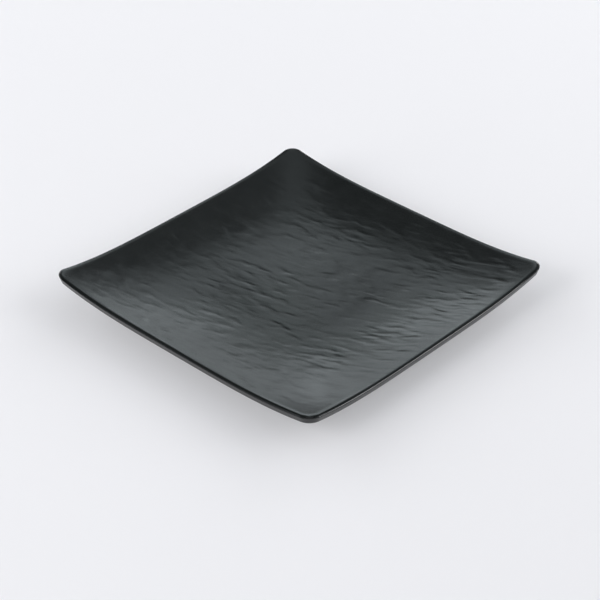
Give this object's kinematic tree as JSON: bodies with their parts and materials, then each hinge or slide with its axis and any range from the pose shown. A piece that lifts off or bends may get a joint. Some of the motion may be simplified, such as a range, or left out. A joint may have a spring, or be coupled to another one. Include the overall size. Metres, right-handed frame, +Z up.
{
  "type": "square dinner plate",
  "caption": "Square dinner plate with a shallow dish, raised rounded corners, a slate-textured satin face and a smooth body on a foot ring.",
  "frame": {"origin": "centre of the plate on the plane that its foot stands on", "axes": "+Z up, square to the dish's floor; X and Y along the plate's sides"},
  "size_m": [0.255, 0.255, 0.0272],
  "materials": {
    "melamine_body": "gloss",
    "melamine_face": "satin"
  },
  "bodies": {
    "root": {"moulded_body": "melamine_body", "textured_face": "melamine_face"}
  },
  "joints": []
}
